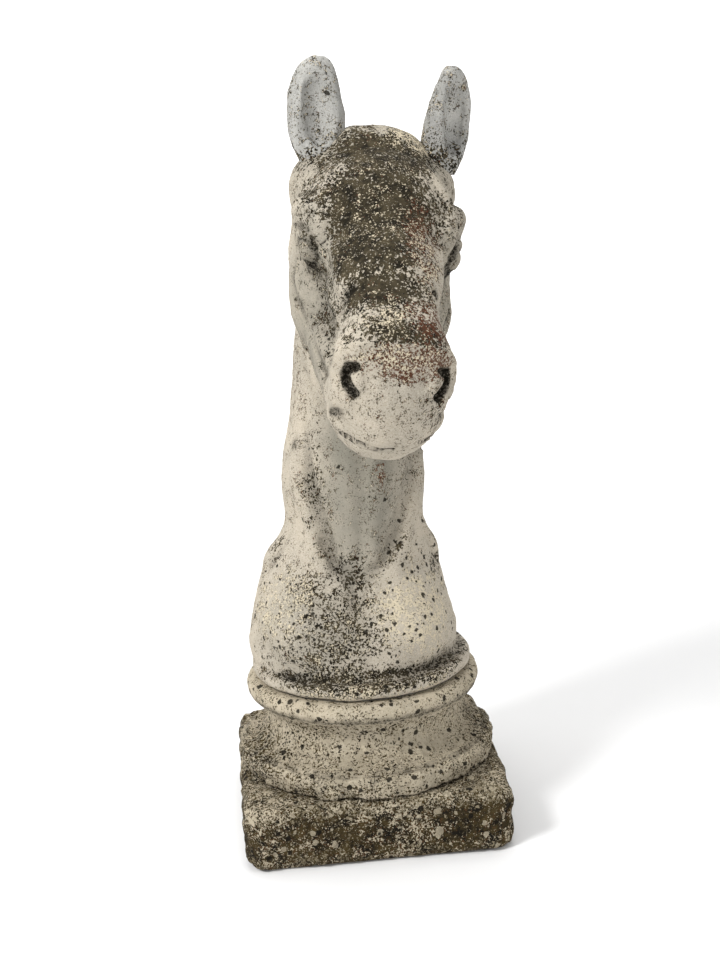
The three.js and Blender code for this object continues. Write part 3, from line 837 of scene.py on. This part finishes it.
def stone(name, tones, growth, coarse, pepper, rosettes, spot_scale, holes):
    """Tones are two bare tones, grains, and a grey film that also carries painted shade; growth is black,
    olive, crumbs and rust, and the black is also the painted shade's tone.
    """
    material, tree, shader = new_material(name)
    place = node(tree, "ShaderNodeTexCoord").outputs["Object"]
    sand = use_group(tree, SAND, {"Vector": place, "Coarse": coarse})
    tones, growth = [[(*colour, 1) for colour in colours] for colours in (tones, growth)]

    def grains(cover, fine):
        return use_group(tree, GRAIN, {"Vector": place, "Cover": cover, "Fine": fine})["Mask"]

    def blobs(cover, scale):
        return use_group(tree, BLOBS, {"Vector": place, "Scale": scale, "Cover": cover})

    def share(mask, most):
        return times(tree, mask, most)

    colour = mix_colour(tree, ramp(tree, noise(tree, place, 16, 5), 0.38, 0.62), tones[0], tones[1])
    patches = weighted(tree, noise(tree, place, 34, 5), 0.9)
    film = add(tree, painted(tree, "film"), patches, True)
    dust = grains(pepper, PEPPER)
    dark = mix_colour(tree, ramp(tree, noise(tree, place, 70, 5, 0.7), 0.4, 0.6), growth[0], growth[1])
    lichen = grains(painted(tree, "lichen"), LICHEN)
    rust, crumbs = grains(painted(tree, "rust"), RUST), grains(painted(tree, "pale"), CRUMBS)
    discs = blobs(rosettes, ROSETTES)
    pale_rim = math_node(tree, "MAXIMUM", discs["Rim"], share(discs["Mask"], 0.7))
    spots = blobs(painted(tree, "spots"), spot_scale)["Mask"]
    grit = ramp(tree, noise(tree, place, GRIT, 4, 0.75), 0.3, 0.62)
    grit = math_node(tree, "SUBTRACT", 1.5, grit)
    # the darkening layer: mostly painted shade from the paint, broken up by grit, in the black tone
    dirt = times(tree, painted(tree, "dirt"), grit, True)
    over = [
        (share(sand["Tone"], 0.8), tones[2]), (film, tones[3]), (share(dust, 0.8), growth[1]),
        (lichen, dark), (share(rust, 0.9), growth[3]), (share(crumbs, 0.93), growth[2]),
        (share(pale_rim, 0.8), growth[2]), (share(spots, 0.92), growth[0]), (dirt, growth[0]),
    ]
    for mask, tone in over:
        colour = mix_colour(tree, mask, colour, tone)
    tree.links.new(colour, shader.inputs["Base Color"])
    shader.inputs["Specular IOR Level"].default_value = SHINE
    tree.links.new(ramp_to(tree, sand["Tone"], 0.84, 0.98), shader.inputs["Roughness"])
    height = add(tree, sand["Height"], share(lichen, 0.5))
    height = add(tree, height, share(crumbs, 0.35))
    height = math_node(tree, "SUBTRACT", height, share(spots, holes))
    inputs = {"Height": height, "Distance": BUMP_HEIGHT, "Strength": 1.0}
    bump = node(tree, "ShaderNodeBump", inputs)
    tree.links.new(bump.outputs["Normal"], shader.inputs["Normal"])
    return material


GROWTH = [(0.012, 0.01, 0.006), (0.062, 0.05, 0.029), (0.64, 0.56, 0.41), (0.09, 0.034, 0.018)]
PLINTH_GROWTH = [(0.01, 0.008, 0.005), (0.066, 0.047, 0.018), (0.56, 0.49, 0.36), (0.09, 0.046, 0.02)]
bust_stone = stone(
    "weathered_bust_stone",
    [(0.37, 0.328, 0.262), (0.45, 0.39, 0.3), (0.6, 0.545, 0.455), (0.235, 0.222, 0.182)],
    GROWTH,
    coarse=1.0, pepper=0.24, rosettes=0.0, spot_scale=125, holes=0.4,
)
socle_stone = stone(
    "lichened_socle_stone",
    [(0.44, 0.38, 0.28), (0.52, 0.44, 0.32), (0.58, 0.52, 0.41), (0.2, 0.175, 0.12)],
    PLINTH_GROWTH,
    coarse=1.7, pepper=0.25, rosettes=0.05, spot_scale=100, holes=0.0,
)
plinth_stone = stone(
    "mossy_plinth_stone",
    [(0.15, 0.115, 0.06), (0.4, 0.33, 0.22), (0.52, 0.46, 0.35), (0.12, 0.095, 0.05)],
    PLINTH_GROWTH,
    coarse=2.2, pepper=0.4, rosettes=0.3, spot_scale=90, holes=0.0,
)
ear_stone = stone(
    "blue_grey_ear_stone",
    [(0.38, 0.375, 0.345), (0.47, 0.46, 0.42), (0.62, 0.605, 0.57), (0.22, 0.222, 0.215)],
    GROWTH,
    coarse=0.8, pepper=0.26, rosettes=0.0, spot_scale=110, holes=1.6,
)
print("stones made:", [made.name for made in (bust_stone, socle_stone, plinth_stone, ear_stone)])

# %% [markdown]
# What holds the castings together is not modelled again: the mortar beds, the grout and the steel stay
# as the CAD made them, and only get their looks here, a crumbly mortar and a browned steel.

# %% Mortar and steel
def plain_material(name, dark, light, metal, roughness, grit):
    material, tree, shader = new_material(name)
    place = node(tree, "ShaderNodeTexCoord").outputs["Object"]
    patchy = noise(tree, place, 70, 6, 0.7)
    colour = mix_colour(tree, ramp(tree, patchy, 0.35, 0.65), (*dark, 1), (*light, 1))
    tree.links.new(colour, shader.inputs["Base Color"])
    tree.links.new(ramp_to(tree, patchy, *roughness), shader.inputs["Roughness"])
    shader.inputs["Metallic"].default_value = metal
    bump = node(tree, "ShaderNodeBump", {"Height": noise(tree, place, grit, 4, 0.7), "Distance": 0.0006})
    tree.links.new(bump.outputs["Normal"], shader.inputs["Normal"])
    return material


# name, dark and light tone, metal, roughness from and to, grit
mortar = plain_material(
    "crumbly_mortar", (0.07, 0.063, 0.05), (0.2, 0.185, 0.15), 0.0, (0.85, 1.0), 420
)
steel = plain_material(
    "browned_steel", (0.09, 0.05, 0.03), (0.3, 0.27, 0.25), 0.85, (0.35, 0.8), 900
)
dressed = []
for name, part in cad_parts.items():
    words = [word for word in ("mortar", "grout", "bar", "pin", "dowel") if word in name]
    if part.data and words:
        part.data.materials.clear()
        part.data.materials.append(mortar if words[0] in ("mortar", "grout") else steel)
        dressed.append(name)
print("mortar or steel on", dressed)

# %% [markdown]
# Painting puts a number from 0 to 1 on every corner of a mesh, one for each layer of the recipe.
# Lichen and rust are soft blots given one by one, and painted shade gathers where stone closes the space in
# front.

# %% Paint
BLOT_EDGE = 1.35
LAYERS = ("film", "lichen", "rust", "pale", "spots", "dirt")


def blots(points, spots):
    """The strongest of some soft blots: (centre, half sizes, strength)."""
    best = np.zeros(len(points))
    for centre, size, strength in spots:
        away = (points - np.array(centre, float)) / np.array(size, float)
        best = np.maximum(best, strength * smooth(BLOT_EDGE - np.linalg.norm(away, axis=1)))
    return best


def paint(obj, stone, **layers):
    for name in LAYERS:
        values = np.zeros(len(obj.data.vertices))
        values = values + np.clip(layers.get(name, 0), 0, 1)
        layer = obj.data.attributes.new(name, "FLOAT", "POINT")
        layer.data.foreach_set("value", values)
    obj.data.materials.append(stone)
    print(obj.name, "painted, its lichen is", round(float(np.mean(layers["lichen"])), 2))


def normals_of(mesh):
    return read_vectors(mesh.vertex_normals, "vector")


def shelter(points, facing, measure, reach):
    """How closed in each point is: 0 in the open, 1 where stone fills the space in front of it."""
    return np.clip(1 - measure(points + facing * reach) / reach, 0, 1)


print("layers of paint:", LAYERS)

# %% [markdown]
# The horse's forehead and nose carry the thickest lichen, and the breast and the bead under it the
# next. The throat wears a grey film and a painted shadow of the muzzle, and a few black spots sit low on
# the shoulders.

# %% Where things grow
# centre, half sizes and strength of each blot, on the straight horse
FACE_LICHEN = [
    ((0, -50, 750), (72, 90, 44), 0.92), ((-8, -110, 700), (78, 70, 66), 1.0),
    ((-14, -150, 650), (64, 64, 60), 1.0), ((-10, -190, 622), (54, 40, 36), 1.0),
    ((6, -238, 592), (56, 22, 24), 0.78), ((-58, -150, 604), (26, 60, 54), 0.5),
    ((-66, -80, 716), (34, 50, 30), 0.42), ((68, -66, 720), (34, 60, 34), 0.46),
    ((62, -168, 606), (16, 40, 40), 0.6), ((0, 60, 700), (60, 60, 90), 0.5),
    ((0, -214, 606), (46, 30, 24), 0.56), ((0, -248, 568), (50, 20, 24), 0.5),
    ((46, -230, 520), (20, 26, 22), 0.46),
]
CHEST_LICHEN = [
    ((-20, -95, 236), (66, 60, 76), 0.55), ((-50, -70, 290), (50, 40, 30), 0.4),
    ((-14, -80, 300), (34, 40, 46), 0.44), ((-60, -60, 240), (60, 70, 66), 0.36),
    ((0, -100, 196), (150, 110, 15), 0.72), ((84, -20, 300), (24, 44, 26), 0.4),
    ((-52, -50, 420), (12, 30, 90), 0.34), ((56, -60, 420), (12, 30, 60), 0.24),
    ((-70, -90, 690), (30, 50, 40), 0.36),
]
BUST_BLOTS = {
    "film": [
        # the first blot darkens the throat: grey film with the painted shadow of the muzzle over it
        ((0, -60, 430), (56, 60, 150), 0.85), ((-50, -70, 240), (70, 70, 76), 0.4),
        ((0, -20, 745), (90, 60, 50), 0.5), ((76, -60, 600), (26, 130, 120), 0.4),
        ((-70, -100, 600), (30, 110, 110), 0.5), ((60, 0, 440), (40, 60, 90), 0.45),
    ],
    "rust": [
        ((20, -64, 440), (7, 30, 50), 0.36), ((30, -140, 662), (26, 70, 66), 0.5),
        ((30, -224, 602), (32, 28, 32), 0.58), ((10, -246, 568), (52, 24, 22), 0.66),
    ],
    "pale": [
        ((32, -150, 650), (24, 70, 60), 0.32), ((0, -120, 690), (70, 100, 100), 0.17),
        ((-6, -222, 600), (40, 28, 22), 0.34), ((34, -16, 772), (50, 50, 24), 0.42),
        ((0, -246, 570), (50, 24, 18), 0.4), ((-20, -90, 232), (56, 66, 60), 0.26),
        ((70, -80, 262), (66, 80, 66), 0.5), ((-80, -60, 270), (50, 60, 50), 0.42),
        ((0, -110, 186), (140, 100, 12), 0.35),
    ],
    "spots": [
        ((88, -50, 308), (66, 90, 62), 1.0), ((60, -90, 250), (70, 80, 64), 0.6),
        ((-84, -50, 256), (60, 80, 66), 0.5), ((0, -110, 186), (150, 110, 14), 0.7),
    ],
}
SOCLE_MOSS = [
    ((-134, -50, 98), (50, 60, 30), 0.26), ((144, -30, 104), (44, 70, 34), 0.34),
    ((-40, -140, 80), (90, 40, 12), 0.16), ((0, -100, 140), (140, 90, 12), 0.12),
]
SOCLE_CLEAN = [((60, -120, 118), (50, 50, 22), 0.12), ((0, -110, 166), (150, 90, 10), 0.1)]
print("blots on the bust:", {name: len(spots) for name, spots in BUST_BLOTS.items()})

# %% [markdown]
# Painted shade also fills the narrow furrows, less so below the throat. A painted shadow rings the
# eyes and leaves the balls unshaded. Lichen keeps to what faces the sky or stands close to stone.

# %% Painting the stones
WIDE_STROKE = 6.6
NEAR_REACH, FAR_REACH, EAR_REACH, SOCLE_REACH = 5, 22, 14, 12
SHADE_FADES_BELOW, FILM_ABOVE, HIGH_RIDGES = 510, 420, 625
EYEBALL_UNSHADED, EYE_RING = 1.4, 2.4


def paint_bust():
    points = corners_of(bust.data)
    facing = normals_of(bust.data)
    straight = straighten(points)
    x, y, z = straight.T
    upward = facing[:, 2]
    near = shelter(points, facing, bust_carved, NEAR_REACH)
    far = shelter(points, facing, bust_carved, FAR_REACH)
    narrow = [stroke for stroke in PAIRED_STROKES if stroke[0] < WIDE_STROKE]
    cuts = -stroke_height(mirrored(straight), narrow) - stroke_height(straight, MIDDLE_STROKES)
    fainter_below = smooth((SHADE_FADES_BELOW - z) / 40) * (0.62 + 0.2 * (x > 0))
    # painted shade where stone closes the space in front, and in the narrow furrows, fainter below the
    # throat
    dirt = 0.9 * smooth((near - 0.1) / 0.5) + 0.3 * smooth((far - 0.35) / 0.6)
    dirt = dirt + (1 - fainter_below) * smooth((cuts - 0.8) / 2.4)
    to_eye = eye_distance(straight)
    dirt = dirt * (1 - 0.85 * smooth((EYEBALL_UNSHADED - to_eye) / 1.0))
    # a painted shadow line round each eyeball, where the lids meet it
    dirt = dirt + 1.5 * np.exp(-(((to_eye - EYE_RING) / 1.4) ** 2))
    lichen = np.maximum.reduce([
        blots(straight, FACE_LICHEN) * (0.55 + 0.45 * smooth((upward + 0.1) / 0.5)),
        blots(straight, CHEST_LICHEN),
        0.55 * smooth((upward - 0.3) / 0.5),
        0.4 * far,
    ])
    ridges = smooth((-1.5 - cuts) / 2.5) * smooth((z - HIGH_RIDGES) / 20)
    lichen = lichen * (1 - 0.75 * ridges)
    layers = {name: blots(straight, spots) for name, spots in BUST_BLOTS.items()}
    layers["film"] = layers["film"] + 0.02 + 0.1 * smooth((z - FILM_ABOVE) / 80)
    layers["spots"] = layers["spots"] + 0.03
    paint(bust, bust_stone, lichen=lichen, dirt=dirt, **layers)


def paint_ear(ear, side):
    points = corners_of(ear.data)
    hollow = shelter(points, normals_of(ear.data), ear_measure(side), EAR_REACH)
    low = smooth((800 - points[:, 2]) / 70)
    lichen = np.maximum(0.62 * low, 0.14 + 0.1 * hollow)
    # an even grey film, with painted shade in the ear's hollow added to the film and the darkening
    film, dirt = 0.25 + 0.3 * hollow, 0.45 * hollow
    paint(ear, ear_stone, film=film, lichen=lichen, spots=0.035, pale=0.1, dirt=dirt)


def paint_socle():
    points = corners_of(socle.data)
    closed = shelter(points, normals_of(socle.data), socle_measure, SOCLE_REACH)
    low = smooth((150 - points[:, 2]) / 45)
    left = smooth((60 - points[:, 0]) / 180)
    lichen = 0.34 + low * (0.02 + 0.08 * left)
    lichen = lichen + blots(points, SOCLE_MOSS) - blots(points, SOCLE_CLEAN)
    # the darkening is painted shade in the hollows of the mouldings, where stone closes the space in front
    film, dirt, rust = 0.12 + 0.2 * low, 0.8 * smooth(closed * 1.5), 0.12 * low
    paint(socle, socle_stone, film=film, lichen=lichen, pale=0.32, spots=0.5, dirt=dirt, rust=rust)


def paint_block():
    points = corners_of(block.data)
    z = points[:, 2]
    low, rim, band = smooth((34 - z) / 16), smooth((z - 52) / 12), np.exp(-(((z - 24) / 9) ** 2))
    uneven = waves(points, 60, 33)
    lichen = 0.84 + 0.12 * band - 0.16 * rim - 0.1 * low + 0.08 * uneven
    pale = 0.22 + 0.16 * rim - 0.05 * uneven
    paint(block, plinth_stone, film=0.5, lichen=lichen, pale=pale, spots=0.2, dirt=0.1, rust=0.22)


paint_bust()
for ear, side in zip(ears, EAR_STANDS):
    paint_ear(ear, side)
paint_socle()
paint_block()

# %% [markdown]
# The stage is a pale sheet that runs flat under the stone and curves up behind it, so that no line
# shows where the floor ends.

# %% Stage
SHEET_SIDE, SHEET_TOP = 14, 12
CURVE_START, CURVE_RADIUS, CURVE_STEPS = 3.0, 2.5, 12


def make_floor():
    bm = bmesh.new()
    edge = [bm.verts.new((-SHEET_SIDE, y, 0)) for y in (-SHEET_SIDE, CURVE_START)]
    for step in range(1, CURVE_STEPS + 1):
        angle = math.pi / 2 * step / CURVE_STEPS
        back, rise = CURVE_RADIUS * math.sin(angle), CURVE_RADIUS * (1 - math.cos(angle))
        edge.append(bm.verts.new((-SHEET_SIDE, CURVE_START + back, rise)))
    edge.append(bm.verts.new((-SHEET_SIDE, CURVE_START + CURVE_RADIUS, SHEET_TOP)))
    lines = [bm.edges.new(pair) for pair in zip(edge[:-1], edge[1:])]
    swept = bmesh.ops.extrude_edge_only(bm, edges=lines)
    moved = [part for part in swept["geom"] if isinstance(part, bmesh.types.BMVert)]
    bmesh.ops.translate(bm, verts=moved, vec=(2 * SHEET_SIDE, 0, 0))
    mesh = mesh_from("floor", bm)
    mesh.polygons.foreach_set("use_smooth", [True] * len(mesh.polygons))
    floor = new_object("floor", mesh)
    material, _, shader = new_material("pale_floor")
    shader.inputs["Base Color"].default_value = (0.88, 0.88, 0.88, 1)
    shader.inputs["Roughness"].default_value = 0.9
    mesh.materials.append(material)


make_floor()
print("the sheet is", 2 * SHEET_SIDE, "m wide and curves up", CURVE_START, "m behind the stone")

# %% [markdown]
# A small soft key on the left throws the shadow to the right, a wide fill opens the dark side, a
# lamp overhead lights the crown, and one more keeps the paper white.

# %% Lights
# name, place, what it looks at, watts, size
LIGHTS = [
    ("soft_key", (-1.9, -1.3, 2.3), (0, 0, 0.45), 69, 0.7),
    ("soft_fill", (2.4, -1.8, 1.2), (0, 0, 0.45), 16, 2.0),
    ("soft_top", (0.1, 0.3, 3.0), (0, 0, 0.4), 34, 1.6),
    ("paper_light", (0, 2.6, 3.4), (0, 5.4, 1.6), 190, 3.0),
]
SKY_STRENGTH = 0.55


def make_light(name, place, aim, power, size):
    data = bpy.data.lights.new(name, "AREA")
    data.energy, data.size = power, size
    light = new_object(name, data)
    light.location = place
    light.rotation_euler = (Vector(aim) - Vector(place)).to_track_quat("-Z", "Y").to_euler()


for light in LIGHTS:
    make_light(*light)
world = bpy.data.worlds.new("studio")
world.use_nodes = True
background = world.node_tree.nodes["Background"]
background.inputs["Color"].default_value = (1, 1, 1, 1)
background.inputs["Strength"].default_value = SKY_STRENGTH
bpy.context.scene.world = world
bpy.context.scene.view_settings.view_transform = "Standard"
print("lights:", [light[0] for light in LIGHTS])

# %% [markdown]
# The camera looks down on the horse's face from a little above its eyes, and is rolled a little.

# %% Camera
AZIMUTH, YAW = math.radians(-4.32), math.radians(-0.37)
PITCH, ROLL = math.radians(13.56), math.radians(-3.31)
DISTANCE, HEIGHT = 1.6006, 0.7818
LENS, SENSOR_WIDTH = 54.65, 36


def make_camera():
    cos, sin = math.cos, math.sin
    heading = AZIMUTH + YAW
    across, ahead = -sin(heading) * cos(PITCH), cos(heading) * cos(PITCH)
    forward = Vector((across, ahead, -sin(PITCH)))
    level = Vector((cos(heading), sin(heading), 0))
    above = level.cross(forward)
    right = cos(ROLL) * level + sin(ROLL) * above
    up = -sin(ROLL) * level + cos(ROLL) * above
    east, south = sin(AZIMUTH) * DISTANCE, -cos(AZIMUTH) * DISTANCE
    place = Vector((east, south, HEIGHT))
    data = bpy.data.cameras.new("camera")
    data.lens, data.sensor_width, data.sensor_fit = LENS, SENSOR_WIDTH, "AUTO"
    camera = new_object("camera", data)
    turn = Matrix((right, up, -forward)).transposed().to_4x4()
    camera.matrix_world = Matrix.Translation(place) @ turn
    bpy.context.scene.camera = camera


make_camera()
print("camera", DISTANCE, "m away and", HEIGHT, "m up")
